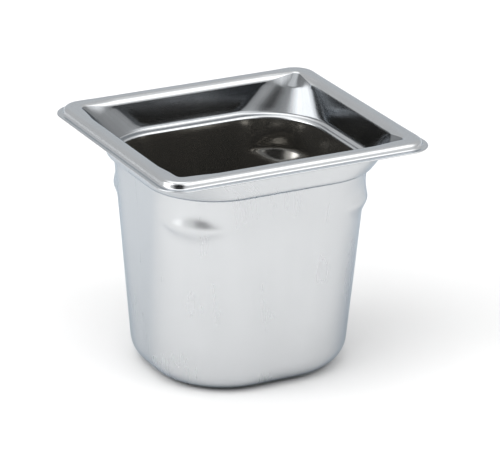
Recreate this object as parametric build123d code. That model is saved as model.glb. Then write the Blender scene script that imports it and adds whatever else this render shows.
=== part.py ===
from build123d import *
import os
from math import atan2, cos, degrees, radians, tan

# Deli food pan, gastronorm size 1/6: one sheet of stainless steel, deep drawn in a single
# pressing, so the whole object is one piece and one node.
#
# Frame: +Z up, origin at the centre of the flat bottom, +X along the longer side, all in mm.
# An inset is measured inwards from the outside of the rim. The wall is described by its
# inside surface, and the outside surface lies one sheet thickness further out.

# Whole pan
LENGTH = 176.0
WIDTH = 162.0
DEPTH = 150.0
SHEET = 0.8

# Rim, from its outer edge inwards: a level lip, a roll up from it, a level flange
LIP_CORNER_R = 16.5
LIP_WIDTH = 3.4
LIP_DROP = 4.0
LIP_EDGE_R = 0.35
GROOVE_R = 1.2
ROLL_RUN = 1.0
ROLL_R = 3.0
FLANGE_INSET = 7.2

# Mouth: where the flange turns down into the neck
MOUTH_INSET = 13.6
MOUTH_CORNER_R = 4.0
MOUTH_R = 4.5

# Neck: the upper part of the wall, down to the ledge
NECK_INSET = 16.2
NECK_CORNER_R = 44.0
NECK_HEIGHT = 128.8
NECK_R = 3.6

# Shoulder: a level across the neck below which its corners are wide; from the mouth's tight
# corners down to it, a sloping facet fills each corner
SHOULDER_HEIGHT = 144.0
SHOULDER_CORNER_R = 26.0
SHOULDER_DROP = 0.5

# Ledge: a small step that slopes down inwards from the neck to the body
LEDGE_INSET = 20.4
LEDGE_CORNER_R = 38.5
LEDGE_SLOPE = 15.0
LEDGE_R = 1.8

# Body: drawn in towards a flat floor with a wide round at its edge
FLOOR_INSET = 26.1
FLOOR_CORNER_R = 49.2
FLOOR_R = 15.7

# Stacking lugs: one pressed outwards in each corner of the body, below the ledge
LUG_HEIGHT = 108.0
LUG_HALF_HEIGHT = 10.0
LUG_RISE = 2.7
LUG_HALF_ANGLE = 28.0
LUG_BELLY = 4.6
LUG_BLEND_R = 3.0

# How far from a named height an edge may lie and still belong to it
LEVEL_MARGIN = 0.01


def outline(inset, corner_r, height):
    """Rounded rectangle parallel to the rim, as a face at one height."""
    length = LENGTH - 2 * inset
    width = WIDTH - 2 * inset
    return Pos(0, 0, height) * RectangleRounded(length, width, corner_r)


def ring_at(solid, height, inset=0.0):
    """Edges that lie level at one height, further in from the rim than an inset."""
    level = solid.edges().filter_by_position(Axis.Z, height - LEVEL_MARGIN, height + LEVEL_MARGIN)
    return [
        edge
        for edge in level
        if edge.bounding_box().max.X < LENGTH / 2 - inset
        and edge.bounding_box().min.X > inset - LENGTH / 2
        and edge.bounding_box().max.Y < WIDTH / 2 - inset
        and edge.bounding_box().min.Y > inset - WIDTH / 2
    ]


def ledge_height():
    """Height of the ledge's inner corner on the inside surface."""
    return NECK_HEIGHT - (LEDGE_INSET - NECK_INSET) * tan(radians(LEDGE_SLOPE))


def body_at(floor_value, ledge_value, height):
    """Value at a height on the body's straight wall, between the floor and the ledge."""
    share = (height - SHEET) / (ledge_height() - SHEET)
    return floor_value + (ledge_value - floor_value) * share


def neck_inset_at(height):
    """Inset of the neck's straight sides at a height, on the inside surface."""
    share = (DEPTH - height) / (DEPTH - NECK_HEIGHT)
    return MOUTH_INSET + (NECK_INSET - MOUTH_INSET) * share


def rim_section():
    """Lip, roll and flange in cross-section: x runs inwards, y up, from the rim's top edge."""
    # the roll's slope turns through one angle at its foot and back through it at its top,
    # so both corners of the underside shift inwards by the same amount
    shift = SHEET * tan(atan2(LIP_DROP, ROLL_RUN) / 2)
    foot = LIP_WIDTH
    top = LIP_WIDTH + ROLL_RUN
    corners = [
        (0, -LIP_DROP, LIP_EDGE_R),
        (foot, -LIP_DROP, GROOVE_R),
        (top, 0, ROLL_R),
        (FLANGE_INSET, 0, None),
        (FLANGE_INSET, -SHEET, None),
        (top + shift, -SHEET, ROLL_R - SHEET),
        (foot + shift, -LIP_DROP - SHEET, GROOVE_R + SHEET),
        (0, -LIP_DROP - SHEET, LIP_EDGE_R),
    ]
    face = make_face(Polyline(*[(x, y) for x, y, radius in corners], close=True))
    for x, y, radius in corners:
        if radius:
            corner = face.vertices().sort_by_distance((x, y, 0))[0]
            face = fillet(corner, radius)
    return face


def rim():
    """The rim's section carried round the pan, and the level flange inside it."""
    flange_outline = outline(FLANGE_INSET, LIP_CORNER_R - FLANGE_INSET, DEPTH)
    # the section stands on the middle of the -Y side, where the sweep starts along +X
    stand = Plane(origin=(0, -WIDTH / 2, DEPTH), x_dir=(0, 1, 0), z_dir=(1, 0, 0))
    edge = sweep(stand * rim_section(), flange_outline.wire())
    return edge + extrude(flange_outline, -SHEET)


def lug_disc(side_x, side_y, skin):
    """Disc with a bulging edge, part of which stands out of the wall at one corner."""
    corner_r = body_at(FLOOR_CORNER_R, LEDGE_CORNER_R, LUG_HEIGHT)
    inset = body_at(FLOOR_INSET, LEDGE_INSET, LUG_HEIGHT)
    # the disc's edge stands out by the lug's rise on the diagonal, and meets the wall's
    # round at the lug's half angle to either side of it
    nose = corner_r + LUG_RISE
    reach = nose - corner_r * cos(radians(LUG_HALF_ANGLE))
    centre = (nose**2 - corner_r**2) / (2 * reach)
    disc_r = nose - centre + skin
    half = LUG_HALF_HEIGHT + skin
    back = Polyline(
        (disc_r - LUG_BELLY, LUG_HEIGHT - half),
        (0, LUG_HEIGHT - half),
        (0, LUG_HEIGHT + half),
        (disc_r - LUG_BELLY, LUG_HEIGHT + half),
    )
    belly = ThreePointArc(back @ 0, (disc_r, LUG_HEIGHT), back @ 1)
    disc = revolve(Plane.XZ * make_face(back + belly), Axis.Z)
    # from the centre of the corner's round, outwards along the diagonal
    step = corner_r - centre * cos(radians(45))
    x = side_x * (LENGTH / 2 - inset - step)
    y = side_y * (WIDTH / 2 - inset - step)
    return Pos(x, y, 0) * disc


def lug_edges(solid):
    """Edges where the lugs meet the body, the only ones that lie within the lugs' height."""
    low = LUG_HEIGHT - 2 * LUG_HALF_HEIGHT
    high = LUG_HEIGHT + 1.5 * LUG_HALF_HEIGHT
    return [
        edge
        for edge in solid.edges()
        if edge.bounding_box().min.Z > low and edge.bounding_box().max.Z < high
    ]


def cup(skin):
    """Solid inside the wall's inside surface moved outwards by skin: 0, or one sheet."""
    # a corner between the ledge and a wall moves down along the line that halves it
    drop = skin * tan(radians(90 - LEDGE_SLOPE) / 2)
    floor = SHEET - skin
    ledge = ledge_height() - drop
    neck = NECK_HEIGHT - drop
    # on the outside it lies lower, so that the facets keep the sheet's thickness
    shoulder = SHOULDER_HEIGHT - SHOULDER_DROP * skin / SHEET
    levels = [
        outline(FLOOR_INSET - skin, FLOOR_CORNER_R + skin, floor),
        outline(LEDGE_INSET - skin, LEDGE_CORNER_R + skin, ledge),
        outline(NECK_INSET - skin, NECK_CORNER_R + skin, neck),
        outline(neck_inset_at(shoulder) - skin, SHOULDER_CORNER_R + skin, shoulder),
        outline(MOUTH_INSET - skin, MOUTH_CORNER_R + skin, DEPTH),
    ]
    solid = loft(levels, ruled=True)
    solid = fillet(ring_at(solid, neck), NECK_R + skin)
    solid = fillet(ring_at(solid, ledge), LEDGE_R - skin)
    solid = fillet(ring_at(solid, floor), FLOOR_R + skin)
    for side_x in (-1, 1):
        for side_y in (-1, 1):
            solid += lug_disc(side_x, side_y, skin)
    return fillet(lug_edges(solid), LUG_BLEND_R + SHEET - skin)


def pan():
    """The whole pressing: the rim on the outer cup, hollowed out by the inner one."""
    shell = rim() + cup(SHEET) - cup(0)
    between = (FLANGE_INSET + MOUTH_INSET) / 2
    shell = fillet(ring_at(shell, DEPTH, between), MOUTH_R)
    shell = fillet(ring_at(shell, DEPTH - SHEET, between), MOUTH_R - SHEET)
    return shell


os.makedirs("parts", exist_ok=True)
export_step(pan(), "parts/pan.step")
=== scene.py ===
from math import cos, radians, sin, tan

import bpy
import numpy as np
from mathutils import Matrix, Vector


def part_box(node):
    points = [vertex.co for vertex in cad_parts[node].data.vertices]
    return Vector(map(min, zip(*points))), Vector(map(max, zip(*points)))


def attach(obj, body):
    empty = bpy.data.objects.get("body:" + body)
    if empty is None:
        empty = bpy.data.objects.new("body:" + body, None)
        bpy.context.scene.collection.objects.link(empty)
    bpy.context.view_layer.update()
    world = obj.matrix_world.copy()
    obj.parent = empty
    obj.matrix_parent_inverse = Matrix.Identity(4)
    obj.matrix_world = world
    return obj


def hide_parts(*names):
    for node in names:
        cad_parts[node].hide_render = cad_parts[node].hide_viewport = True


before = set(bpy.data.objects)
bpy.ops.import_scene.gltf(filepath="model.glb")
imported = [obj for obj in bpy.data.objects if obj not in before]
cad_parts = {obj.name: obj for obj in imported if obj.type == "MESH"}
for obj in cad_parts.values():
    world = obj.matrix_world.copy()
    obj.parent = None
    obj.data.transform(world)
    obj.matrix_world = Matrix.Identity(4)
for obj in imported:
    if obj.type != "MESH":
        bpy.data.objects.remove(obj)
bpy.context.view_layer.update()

# Deli food pan: one sheet of stainless steel, deep drawn. The sheet is laid out as rings that
# run round the pan, one after another along its section: from the cut edge of the lip, over
# the rim, down the inside to the middle of the floor, and back along the outside.
#
# An inset is measured inwards from the outside of the rim, in metres like every other length.

LOW, HIGH = (Vector(corner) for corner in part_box("pan"))
HALF_LENGTH = (HIGH.x - LOW.x) / 2
HALF_WIDTH = (HIGH.y - LOW.y) / 2
DEPTH = HIGH.z - LOW.z

SHEET = 0.0008

# Rim
LIP_CORNER_R = 0.0165
LIP_WIDTH = 0.0034
LIP_HEIGHT = DEPTH - 0.004
GROOVE_R = 0.0012
ROLL_INSET = 0.0044
ROLL_R = 0.003

# Mouth, where the flange turns down. In the corners a facet slopes from it to the shoulder,
# a crease round the top of the neck that sinks a little at each corner.
MOUTH_INSET = 0.0136
MOUTH_CORNER_R = 0.004
MOUTH_R = 0.0045
SHOULDER_INSET = 0.0142
SHOULDER_CORNER_R = 0.026
SHOULDER_HEIGHT = DEPTH - 0.005
SHOULDER_DIP = 0.0019
SHOULDER_BEND = 0.001

# Neck and ledge
NECK_INSET = 0.0162
NECK_CORNER_R = 0.044
NECK_HEIGHT = 0.1288
NECK_R = 0.0036
LEDGE_INSET = 0.0204
LEDGE_CORNER_R = 0.0385
LEDGE_SLOPE = radians(15)
LEDGE_HEIGHT = NECK_HEIGHT - (LEDGE_INSET - NECK_INSET) * tan(LEDGE_SLOPE)
LEDGE_R = 0.0018

# Floor and the wide round at its edge, with the insets of the rings that cross the flat
FLOOR_INSET = 0.0261
FLOOR_CORNER_R = 0.0492
FLOOR_R = 0.0157
FLOOR_RING_INSETS = (0.060, 0.066, 0.071, 0.074)

# Where rings lie part of the way along a straight span
THIRDS = (0.33, 0.67)
QUARTERS = (0.25, 0.5, 0.75)
FIFTHS = (0.2, 0.4, 0.6, 0.8)

# Strips between rings on the flat of the floor, and as many on its underside
FLAT_STRIPS = len(FLOOR_RING_INSETS) + len(THIRDS)

# Stacking lugs in the corners of the body: how far each stands out, how much of the corner it
# takes up, and how steeply it falls away above and below its rounded crest
LUG_HEIGHT = 0.108
LUG_RISE = 0.0027
LUG_HALF_ANGLE = radians(28)
LUG_SLOPE_ABOVE = 0.30
LUG_SLOPE_BELOW = 0.39
LUG_CREST = 0.0012
LUG_BLEND = 0.0012
LUG_TOP = 0.122
LUG_BOTTOM = 0.092

# Studio: a soft ceiling above the front, a patch of it overhead, soft boxes low and high on the
# left, and a dark gap at the front. Each is a way it lies in, and pairs of how nearly a
# direction points that way (1 where it does) and how light it is there.
CEILING_WAY = Vector((0.35, -0.62, 0.70))
CEILING = [(0.0, 0.74), (0.74, 0.78), (0.86, 1.1), (0.93, 1.7), (0.98, 2.1)]
TOP_WAY = Vector((-0.05, 0.25, 0.96))
TOP = [(0.88, 0.0), (0.95, 1.0)]
SIDE_WAY = Vector((-0.93, 0.22, 0.30))
SIDE = [(0.92, 0.0), (0.965, 2.4)]
HIGH_SIDE_WAY = Vector((-0.76, 0.02, 0.64))
HIGH_SIDE = [(0.96, 0.0), (0.98, 2.5)]
GAP_WAY = Vector((-0.55, -0.75, 0.37))
GAP = [(0.885, 1.0), (0.925, 0.0)]
STUDIO_STRENGTH = 2.5
FRONT_LIGHT_SIZE = 0.9
FRONT_LIGHT_POWER = 6.0
FRONT_LIGHT_PLACE = (-0.6, -0.5, 1.05)
FRONT_LIGHT_TURN = (radians(36), 0, radians(-50))
FLOOR_GREY = 0.76
FLOOR_REACH = 12.0
EXPOSURE = -0.4
GLOSSY_BOUNCES = 10

# Camera: a long lens, looking down into the pan past its near left corner
CAMERA_AZIMUTH = radians(-27.78)
CAMERA_ELEVATION = radians(21.53)
CAMERA_ROLL = radians(0.75)
CAMERA_DISTANCE = 2.0537
CAMERA_SENSOR = 36.0
CAMERA_LENS = 247.2
# how far the aim lies from the middle of the pan, to the camera's right and upwards
AIM_SIDE = 0.00638
AIM_UP = 0.00912

# Steel: cloudy patches, and over them fine and wide strokes, each by its share of the tone.
# The wide strokes are this many times wider and longer than the fine ones.
PATCHES_PER_METRE = 22.0
STROKES_SHARE = 0.5
FINE_SHARE = 0.4
WIDER = 6
LONGER = 2
# the part of a noise's range in which nearly all of it lies
NOISE_RANGE = (0.3, 0.7)

# Points round a quarter of the pan: half of each side, and the corner between them
LONG_STEPS = 10
CORNER_STEPS = 40
CROSS_STEPS = 9

# Steps across each rounded corner of the section
EDGE_STEPS = 6
GROOVE_STEPS = 6
ROLL_STEPS = 9
MOUTH_STEPS = 12
SHOULDER_STEPS = 4
NECK_STEPS = 9
LEDGE_STEPS = 8
FLOOR_STEPS = 16
# rings of the neck's rounded foot that still belong to the neck and not to the ledge
NECK_FOOT_RINGS = 5
# rings down the body: past the lugs, and from there to the floor's round
LUG_RINGS = 27
BODY_RINGS = 10


def spread(steps):
    """Angles through a corner's right angle, closest together at its diagonal."""
    t = np.linspace(-1, 1, steps + 1)
    return radians(45) * (1 + 0.55 * t + 0.45 * t**3)


CORNER_ANGLES = spread(CORNER_STEPS)
# 0 along the sides, rising to 1 at each corner's diagonal
CORNER_SHARE = np.concatenate([
    np.zeros(CROSS_STEPS),
    np.sin(2 * CORNER_ANGLES) ** 2,
    np.zeros(LONG_STEPS),
])


def all_round(quarter, mirror=True):
    """Values for the whole ring from those of the quarter between +X and +Y."""
    flip_x = np.array([-1, 1, 1]) if mirror else 1
    flip_y = np.array([1, -1, 1]) if mirror else 1
    back = quarter[::-1]
    return np.concatenate([
        quarter[:-1],
        (back * flip_x)[:-1],
        (quarter * flip_x * flip_y)[:-1],
        (back * flip_y)[:-1],
    ])


RING_SHARE = all_round(CORNER_SHARE, mirror=False)


def by_angle(inset, corner_r, height):
    """Ring whose corner points are spread by angle round the ring's own corner centres."""
    x, y = HALF_LENGTH - inset, HALF_WIDTH - inset
    rise = np.linspace(0, y - corner_r, CROSS_STEPS + 1)[:-1]
    run = np.linspace(x - corner_r, 0, LONG_STEPS + 1)[1:]
    px = np.concatenate([
        np.full(CROSS_STEPS, x),
        x - corner_r + corner_r * np.cos(CORNER_ANGLES),
        run,
    ])
    py = np.concatenate([
        rise,
        y - corner_r + corner_r * np.sin(CORNER_ANGLES),
        np.full(LONG_STEPS, y),
    ])
    return all_round(np.stack([px, py, np.full(px.shape, height)], 1))


def by_ray(inset, corner_r, height):
    """Ring outside the shoulder, whose points lie square across from those of the shoulder."""
    x, y = HALF_LENGTH - inset, HALF_WIDTH - inset
    from_x = HALF_LENGTH - SHOULDER_INSET - SHOULDER_CORNER_R
    from_y = HALF_WIDTH - SHOULDER_INSET - SHOULDER_CORNER_R
    dx, dy = np.abs(np.cos(CORNER_ANGLES)), np.abs(np.sin(CORNER_ANGLES))
    # how far along each ray the ring's corner arc lies, or one of its two sides
    off_x, off_y = from_x - (x - corner_r), from_y - (y - corner_r)
    middle = -(off_x * dx + off_y * dy)
    reach = middle + np.sqrt(np.maximum(middle**2 - off_x**2 - off_y**2 + corner_r**2, 0))
    with np.errstate(divide="ignore"):
        to_x, to_y = (x - from_x) / dx, (y - from_y) / dy
    reach = np.where(from_y + to_x * dy < y - corner_r, to_x, reach)
    reach = np.where(from_x + to_y * dx < x - corner_r, to_y, reach)
    rise = np.linspace(0, from_y, CROSS_STEPS + 1)[:-1]
    run = np.linspace(from_x, 0, LONG_STEPS + 1)[1:]
    px = np.concatenate([np.full(CROSS_STEPS, x), from_x + reach * dx, run])
    py = np.concatenate([rise, from_y + reach * dy, np.full(LONG_STEPS, y)])
    return all_round(np.stack([px, py, np.full(px.shape, height)], 1))


def sunk(ring, depth):
    """The ring with its corners let down below its sides."""
    lower = ring.copy()
    lower[:, 2] -= depth * RING_SHARE
    return lower


def unit(vectors):
    return vectors / np.linalg.norm(vectors, axis=1, keepdims=True)


def arc(before, corner, after, radius, steps):
    """Rings that round off the corner between three rings, tangent to both spans."""
    back, on = unit(before - corner), unit(after - corner)
    half = np.arccos(np.sum(back * on, 1, keepdims=True)) / 2
    centre = corner + unit(back + on) * radius / np.sin(half)
    first = unit(corner + back * radius / np.tan(half) - centre)
    last = unit(corner + on * radius / np.tan(half) - centre)
    turn = np.pi - 2 * half
    return [
        centre + radius * (np.sin((1 - t) * turn) * first + np.sin(t * turn) * last) / np.sin(turn)
        for t in np.linspace(0, 1, steps + 1)
    ]


def across(ring, other):
    """The other ring with its points moved along it to lie square across from the ring's."""
    along = unit(np.roll(ring, -1, 0) - np.roll(ring, 1, 0))
    return other - along * np.sum((other - ring) * along, 1, keepdims=True)


def bend(before, corner, after, reach, steps):
    """Rings that ease a slight corner between three rings, from reach before it to reach after."""
    start = corner + unit(before - corner) * reach
    end = corner + unit(after - corner) * reach
    return [
        start * (1 - t) ** 2 + corner * 2 * t * (1 - t) + end * t**2
        for t in np.linspace(0, 1, steps + 1)
    ]


def between(start, end, shares):
    """Rings part of the way from one ring to another."""
    return [start + (end - start) * share for share in shares]


def lug_bulge(ring):
    """How far each point of a ring of the body's wall is pressed outwards by its lug."""
    height = ring[0, 2]
    share = (height - SHEET) / (LEDGE_HEIGHT - SHEET)
    inset = FLOOR_INSET + (LEDGE_INSET - FLOOR_INSET) * share
    corner_r = FLOOR_CORNER_R + (LEDGE_CORNER_R - FLOOR_CORNER_R) * share
    dx = np.abs(ring[:, 0]) - (HALF_LENGTH - inset - corner_r)
    dy = np.abs(ring[:, 1]) - (HALF_WIDTH - inset - corner_r)
    angle = np.arctan2(dy, dx) - radians(45)
    # a disc with a ridged edge, whose nose stands out of the wall on the diagonal
    nose = corner_r + LUG_RISE
    reach = nose - corner_r * cos(LUG_HALF_ANGLE)
    offset = (nose**2 - corner_r**2) / (2 * reach)
    slope = LUG_SLOPE_ABOVE if height > LUG_HEIGHT else LUG_SLOPE_BELOW
    off_crest = np.hypot(height - LUG_HEIGHT, LUG_CREST) - LUG_CREST
    disc_r = max(nose - offset - slope * off_crest, 0)
    inside = np.maximum(disc_r**2 - (offset * np.sin(angle)) ** 2, 0)
    proud = offset * np.cos(angle) + np.sqrt(inside) - corner_r
    proud = np.where(np.abs(angle) < radians(45), proud, -LUG_BLEND)
    blend = (np.clip(proud, -LUG_BLEND, LUG_BLEND) + LUG_BLEND) ** 2 / (4 * LUG_BLEND)
    bulge = np.where(proud > LUG_BLEND, proud, blend)
    outwards = np.stack([
        np.sign(ring[:, 0]) * np.cos(angle + radians(45)),
        np.sign(ring[:, 1]) * np.sin(angle + radians(45)),
        np.zeros(len(ring)),
    ], 1)
    return ring + outwards * bulge[:, None]


def body_wall(top, bottom):
    """Rings down the wall under the ledge, close together where the lugs are."""
    span = top[0, 2] - bottom[0, 2]
    heights = np.concatenate([
        np.linspace(LUG_TOP, LUG_BOTTOM, LUG_RINGS),
        np.linspace(LUG_BOTTOM, bottom[0, 2], BODY_RINGS)[1:-1],
    ])
    return [lug_bulge(top + (bottom - top) * (top[0, 2] - z) / span) for z in heights]


def inside_rings():
    """Rings along the inside of the section, and how many are above the neck, ledge and body."""
    edge = by_ray(SHEET / 2, LIP_CORNER_R - SHEET / 2, LIP_HEIGHT)
    groove = by_ray(LIP_WIDTH, LIP_CORNER_R - LIP_WIDTH, LIP_HEIGHT)
    roll = by_ray(ROLL_INSET, LIP_CORNER_R - ROLL_INSET, DEPTH)
    mouth = by_ray(MOUTH_INSET, MOUTH_CORNER_R, DEPTH)
    shoulder = sunk(by_angle(SHOULDER_INSET, SHOULDER_CORNER_R, SHOULDER_HEIGHT), SHOULDER_DIP)
    neck = by_angle(NECK_INSET, NECK_CORNER_R, NECK_HEIGHT)
    ledge = by_angle(LEDGE_INSET, LEDGE_CORNER_R, LEDGE_HEIGHT)
    floor = by_angle(FLOOR_INSET, FLOOR_CORNER_R, SHEET)
    middle = [
        by_angle(inset, FLOOR_CORNER_R - (inset - FLOOR_INSET), SHEET)
        for inset in FLOOR_RING_INSETS
    ]
    groove_arc = arc(edge, groove, roll, GROOVE_R, GROOVE_STEPS)
    roll_arc = arc(groove, roll, mouth, ROLL_R, ROLL_STEPS)
    mouth_arc = arc(roll, mouth, shoulder, MOUTH_R, MOUTH_STEPS)
    shoulder_bend = bend(mouth_arc[-1], shoulder, neck, SHOULDER_BEND, SHOULDER_STEPS)
    neck_arc = arc(across(neck, shoulder), neck, across(neck, ledge), NECK_R, NECK_STEPS)
    ledge_arc = arc(across(ledge, neck), ledge, across(ledge, floor), LEDGE_R, LEDGE_STEPS)
    floor_arc = arc(ledge, floor, middle[0], FLOOR_R, FLOOR_STEPS)
    rim = [edge, *between(edge, groove_arc[0], (0.5,)), *groove_arc, *roll_arc]
    rim += [*between(roll_arc[-1], mouth_arc[0], QUARTERS), *mouth_arc]
    wall = between(mouth_arc[-1], shoulder_bend[0], THIRDS)
    wall += [*shoulder_bend, *between(shoulder_bend[-1], neck_arc[0], FIFTHS)]
    wall += neck_arc[:NECK_FOOT_RINGS]
    step = [*neck_arc[NECK_FOOT_RINGS:], *ledge_arc]
    body = [*body_wall(ledge_arc[-1], floor_arc[0]), *floor_arc]
    body += [*between(floor_arc[-1], middle[0], THIRDS), *middle]
    starts = np.cumsum([len(rim), len(wall), len(step)])
    return rim + wall + step + body, starts


def normals(grid):
    """Unit normals of a grid of rings, on the side that faces up or into the pan."""
    along = np.gradient(grid, axis=0)
    around = np.roll(grid, -1, 1) - np.roll(grid, 1, 1)
    square = np.cross(around, along)
    return square / np.linalg.norm(square, axis=2, keepdims=True)


def cut_edge(top, bottom):
    """Rings round the sheet's cut edge at the lip."""
    middle = (top + bottom) / 2
    up = (top - bottom) / 2
    out = unit(np.cross(np.roll(top, -1, 0) - np.roll(top, 1, 0), up)) * (SHEET / 2)
    turns = np.linspace(0, np.pi, EDGE_STEPS + 1)[1:-1]
    return [middle + up * cos(turn) + out * sin(turn) for turn in turns]


def pan_mesh():
    """The whole sheet as one closed mesh, with a lengthwise and crosswise position on it."""
    inside, starts = inside_rings()
    inside = np.stack(inside)
    outside = inside - SHEET * normals(inside)
    edge = cut_edge(inside[0], outside[0])
    grid = np.concatenate([outside[::-1], np.stack(edge[::-1]), inside])
    rows, count = grid.shape[:2]
    mesh = bpy.data.meshes.new("steel_pan")
    numbers = np.arange(rows * count).reshape(rows, count)
    after = np.roll(numbers, -1, 1)
    quads = np.stack([numbers[:-1], after[:-1], after[1:], numbers[1:]], 2).reshape(-1, 4)
    bottom = numbers[0][::-1].tolist()
    top = numbers[-1].tolist()
    mesh.from_pydata(grid.reshape(-1, 3).tolist(), [], [*quads.tolist(), bottom, top])
    material_of = np.repeat(strip_materials(rows, len(outside) - 1, len(edge), starts), count)
    material_of = np.append(material_of, [0, 3])
    mesh.polygons.foreach_set("material_index", material_of.astype(np.int32))
    mesh.polygons.foreach_set("use_smooth", np.ones(len(material_of), bool))
    lay_skin(mesh, grid)
    mesh.validate()
    return mesh


def strip_materials(rows, outside, edge, starts):
    """Which material each strip between two rings has: 0 outside, 1 rim and ledge, 2 neck, 3 body;
    2 and 3 carry painted shade.
    """
    strip = np.arange(rows - 1)
    neck, ledge, body = outside + edge + starts
    regions = [strip < outside, strip < neck, strip < ledge, strip < body]
    return np.select(regions, [0, 1, 2, 1], 3)


def lay_skin(mesh, grid):
    """UVs in metres: round the pan, and along the section."""
    rows, count = grid.shape[:2]
    shoulder = by_angle(SHOULDER_INSET, SHOULDER_CORNER_R, SHOULDER_HEIGHT)
    around = np.linalg.norm(np.roll(shoulder, -1, 0) - shoulder, axis=1)
    around = np.concatenate([[0], np.cumsum(around)])
    # the section at the middle of a side, where the rings run straight
    along = np.linalg.norm(np.diff(grid[:, 0], axis=0), axis=1)
    along = np.concatenate([[0], np.cumsum(along)])
    u = np.stack([around[:-1], around[1:], around[1:], around[:-1]], 1)
    u = np.tile(u, (rows - 1, 1))
    v = np.stack([along[:-1], along[:-1], along[1:], along[1:]], 1)
    v = np.repeat(v, count, axis=0)
    quads = np.stack([u, v], 2).reshape(rows - 1, count, 4, 2)
    # straight across the flat bottom, on both of its faces
    after = np.roll(grid, -1, 1)
    flat = np.stack([grid[:-1], after[:-1], after[1:], grid[1:]], 2)[..., :2]
    quads[:FLAT_STRIPS] = flat[:FLAT_STRIPS]
    quads[-FLAT_STRIPS:] = flat[-FLAT_STRIPS:]
    quads = quads.reshape(-1, 2)
    ends = np.concatenate([grid[0, ::-1, :2], grid[-1, :, :2]])
    layer = mesh.uv_layers.new(name="skin")
    layer.data.foreach_set("uv", np.concatenate([quads, ends]).astype(np.float32).ravel())


def material(name):
    made = bpy.data.materials.new(name)
    made.use_nodes = True
    nodes = made.node_tree.nodes
    return made, nodes, made.node_tree.links, nodes["Principled BSDF"]


def noise(nodes, links, vector, scale, detail=3.0, roughness=0.5):
    texture = nodes.new("ShaderNodeTexNoise")
    texture.inputs["Scale"].default_value = scale
    texture.inputs["Detail"].default_value = detail
    texture.inputs["Roughness"].default_value = roughness
    links.new(vector, texture.inputs["Vector"])
    return texture.outputs["Fac"]


def stretched(nodes, links, vector, scale):
    mapping = nodes.new("ShaderNodeMapping")
    mapping.inputs["Scale"].default_value = scale
    links.new(vector, mapping.inputs["Vector"])
    return mapping.outputs["Vector"]


def remap(nodes, links, value, low, high, to_low, to_high):
    node = nodes.new("ShaderNodeMapRange")
    node.inputs["From Min"].default_value = low
    node.inputs["From Max"].default_value = high
    node.inputs["To Min"].default_value = to_low
    node.inputs["To Max"].default_value = to_high
    links.new(value, node.inputs["Value"])
    return node.outputs["Result"]


def combine(nodes, links, operation, first, second):
    node = nodes.new("ShaderNodeMath")
    node.operation = operation
    links.new(first, node.inputs[0])
    links.new(second, node.inputs[1])
    return node.outputs["Value"]


def steel(name, dark, light, edge, smooth, rough, stroke, depth, smear, metal=1.0):
    """Stainless steel with fine strokes from the press and the polishing belt.

    dark and light are the colours that its patches run between, and edge tints it where it is
    seen at a slant. smooth and rough are the limits of its roughness, stroke is the strokes per
    metre across and along, depth their height, and smear how far they draw out its
    reflections. metal is the share of it that mirrors: the rest scatters light.
    """
    made, nodes, links, shader = material(name)
    shader.inputs["Metallic"].default_value = metal
    shader.inputs["Specular Tint"].default_value = (*edge, 1)
    skin = nodes.new("ShaderNodeUVMap")
    skin.uv_map = "skin"
    place = nodes.new("ShaderNodeTexCoord").outputs["Object"]
    fine = noise(nodes, links, stretched(nodes, links, skin.outputs["UV"], (*stroke, 1)), 1.0, 4.0)
    wide_scale = (stroke[0] / WIDER, stroke[1] / LONGER, 1)
    wide = noise(nodes, links, stretched(nodes, links, skin.outputs["UV"], wide_scale), 1.0, 2.0)
    patches = noise(nodes, links, place, PATCHES_PER_METRE)
    strokes = combine(nodes, links, "ADD",
                      remap(nodes, links, fine, *NOISE_RANGE, 0, FINE_SHARE),
                      remap(nodes, links, wide, *NOISE_RANGE, 0, 1 - FINE_SHARE))
    tone = combine(nodes, links, "ADD",
                   remap(nodes, links, strokes, 0, 1, 0, STROKES_SHARE),
                   remap(nodes, links, patches, *NOISE_RANGE, 0, 1 - STROKES_SHARE))
    ramp = nodes.new("ShaderNodeValToRGB")
    ramp.color_ramp.elements[0].color = (*dark, 1)
    ramp.color_ramp.elements[1].color = (*light, 1)
    links.new(tone, ramp.inputs["Fac"])
    links.new(ramp.outputs["Color"], shader.inputs["Base Color"])
    links.new(remap(nodes, links, tone, 0, 1, rough, smooth), shader.inputs["Roughness"])
    # the strokes smear its reflections sideways
    shader.inputs["Anisotropic"].default_value = smear
    sideways = nodes.new("ShaderNodeTangent")
    sideways.direction_type = "UV_MAP"
    sideways.uv_map = "skin"
    links.new(sideways.outputs["Tangent"], shader.inputs["Tangent"])
    if depth:
        bump = nodes.new("ShaderNodeBump")
        bump.inputs["Strength"].default_value = 1.0
        bump.inputs["Distance"].default_value = depth
        links.new(strokes, bump.inputs["Height"])
        links.new(bump.outputs["Normal"], shader.inputs["Normal"])
    return made


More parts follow.
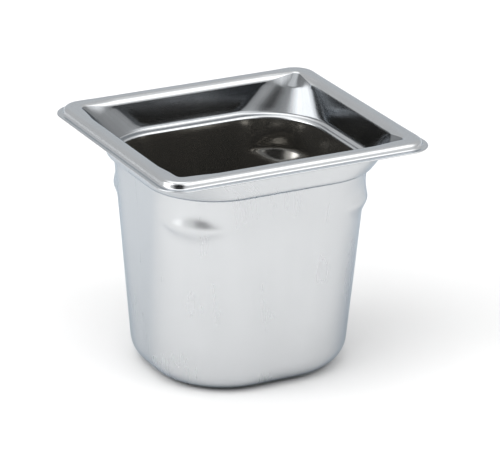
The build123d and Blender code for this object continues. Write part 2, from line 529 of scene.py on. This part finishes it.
def pan():
    """The pan, with its satin outside, polished rim and ledge, and streaky drawn inside, whose neck
    and body are painted dark as shade.
    """
    piece = bpy.data.objects.new("steel_pan", pan_mesh())
    bpy.context.collection.objects.link(piece)
    piece.data.materials.append(steel(
        "satin_outside", dark=(0.61, 0.62, 0.63), light=(0.65, 0.66, 0.67), edge=(0.64, 0.70, 0.76),
        smooth=0.24, rough=0.29, stroke=(640, 14), depth=0.0, smear=0.0))
    piece.data.materials.append(steel(
        "polished_rim", dark=(0.55, 0.56, 0.57), light=(0.61, 0.62, 0.63), edge=(0.9, 0.95, 1.0),
        smooth=0.20, rough=0.28, stroke=(60, 2500), depth=1e-6, smear=0.0))
    # painted shade: the neck's steel is far darker than the outside's, standing in for the shade
    # inside the pan
    piece.data.materials.append(steel(
        "neck_painted_shade", dark=(0.26, 0.27, 0.28), light=(0.38, 0.39, 0.40), edge=(0.7, 0.72, 0.74),
        smooth=0.13, rough=0.22, stroke=(700, 14), depth=5e-7, smear=0.8, metal=0.97))
    # painted shade: the body's steel is darker and warmer than the outside's and partly scatters,
    # standing in for the dim, warm-tinted reflections deep inside the pan
    piece.data.materials.append(steel(
        "body_painted_shade", dark=(0.40, 0.39, 0.37), light=(0.48, 0.47, 0.45), edge=(0.8, 0.8, 0.8),
        smooth=0.13, rough=0.19, stroke=(700, 14), depth=5e-7, smear=0.7, metal=0.89))
    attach(piece, "root")
    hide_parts("pan")
    return piece


def floor():
    """A plain pale floor, far wider than any view of the pan."""
    mesh = bpy.data.meshes.new("studio_floor")
    corners = [
        (side_x * FLOOR_REACH, side_y * FLOOR_REACH, 0)
        for side_x, side_y in ((-1, -1), (1, -1), (1, 1), (-1, 1))
    ]
    mesh.from_pydata(corners, [], [(0, 1, 2, 3)])
    made, nodes, links, shader = material("pale_floor")
    shader.inputs["Base Color"].default_value = (FLOOR_GREY, FLOOR_GREY, FLOOR_GREY, 1)
    shader.inputs["Roughness"].default_value = 0.9
    shader.inputs["Specular IOR Level"].default_value = 0.0
    mesh.materials.append(made)
    plane = bpy.data.objects.new("studio_floor", mesh)
    plane.location.z = LOW.z
    bpy.context.collection.objects.link(plane)


def studio():
    """Surroundings that light the pan from all sides."""
    world = bpy.data.worlds.new("studio")
    bpy.context.scene.world = world
    world.use_nodes = True
    nodes, links = world.node_tree.nodes, world.node_tree.links
    way = nodes.new("ShaderNodeTexCoord").outputs["Generated"]
    ceiling = levels(nodes, links, way, CEILING_WAY, CEILING, STUDIO_STRENGTH)
    top = levels(nodes, links, way, TOP_WAY, TOP, STUDIO_STRENGTH)
    side = levels(nodes, links, way, SIDE_WAY, SIDE, STUDIO_STRENGTH)
    high_side = levels(nodes, links, way, HIGH_SIDE_WAY, HIGH_SIDE, STUDIO_STRENGTH)
    # the gap's levels are shares of whatever light lies there
    gap = levels(nodes, links, way, GAP_WAY, GAP, 1.0)
    light = blend(nodes, links, "ADD", blend(nodes, links, "ADD", ceiling, top),
                  blend(nodes, links, "LIGHTEN", side, high_side))
    light = blend(nodes, links, "MULTIPLY", light, gap)
    background = nodes["Background"]
    background.inputs["Strength"].default_value = STUDIO_STRENGTH
    links.new(light, background.inputs["Color"])


def levels(nodes, links, way, aim, bands, full):
    """Grey by how nearly a direction points at aim, from pairs of that and a level out of full."""
    facing = nodes.new("ShaderNodeVectorMath")
    facing.operation = "DOT_PRODUCT"
    facing.inputs[1].default_value = aim.normalized()
    links.new(way, facing.inputs[0])
    ramp = nodes.new("ShaderNodeValToRGB")
    elements = ramp.color_ramp.elements
    while len(elements) < len(bands):
        elements.new(0.5)
    for element, (place, level) in zip(elements, bands):
        element.position = place
        element.color = (*[level / full] * 3, 1)
    links.new(facing.outputs["Value"], ramp.inputs["Fac"])
    return ramp.outputs["Color"]


def blend(nodes, links, kind, first, second):
    node = nodes.new("ShaderNodeMix")
    node.data_type = "RGBA"
    node.blend_type = kind
    node.inputs["Factor"].default_value = 1.0
    links.new(first, node.inputs["A"])
    links.new(second, node.inputs["B"])
    return node.outputs["Result"]


def front_light():
    """Soft box above and in front of the pan, which lights the floor and isn't mirrored."""
    box = bpy.data.lights.new("front_light", "AREA")
    box.size = FRONT_LIGHT_SIZE
    box.energy = FRONT_LIGHT_POWER
    made = bpy.data.objects.new("front_light", box)
    made.location = FRONT_LIGHT_PLACE
    made.rotation_euler = FRONT_LIGHT_TURN
    made.visible_glossy = False
    bpy.context.collection.objects.link(made)


def camera():
    """The camera, turned so that its own sides lie along side, top and back."""
    right = Vector((cos(CAMERA_AZIMUTH), sin(CAMERA_AZIMUTH), 0))
    ahead = Vector((-sin(CAMERA_AZIMUTH), cos(CAMERA_AZIMUTH), 0))
    back = Vector((0, 0, sin(CAMERA_ELEVATION))) - ahead * cos(CAMERA_ELEVATION)
    up = back.cross(right)
    side = right * cos(CAMERA_ROLL) + up * sin(CAMERA_ROLL)
    top = up * cos(CAMERA_ROLL) - right * sin(CAMERA_ROLL)
    aim = Vector((0, 0, DEPTH / 2)) + side * AIM_SIDE + top * AIM_UP
    lens = bpy.data.cameras.new("camera")
    lens.sensor_width = CAMERA_SENSOR
    lens.lens = CAMERA_LENS
    made = bpy.data.objects.new("camera", lens)
    turn = Matrix((side, top, back)).transposed()
    made.matrix_world = Matrix.Translation(aim + back * CAMERA_DISTANCE) @ turn.to_4x4()
    bpy.context.collection.objects.link(made)
    bpy.context.scene.camera = made


camera()
studio()
front_light()
floor()
pan()
bpy.context.scene.view_settings.view_transform = "Standard"
bpy.context.scene.view_settings.look = "High Contrast"
bpy.context.scene.view_settings.exposure = EXPOSURE
# light crosses the pan many times before it leaves
bpy.context.scene.cycles.glossy_bounces = GLOSSY_BOUNCES
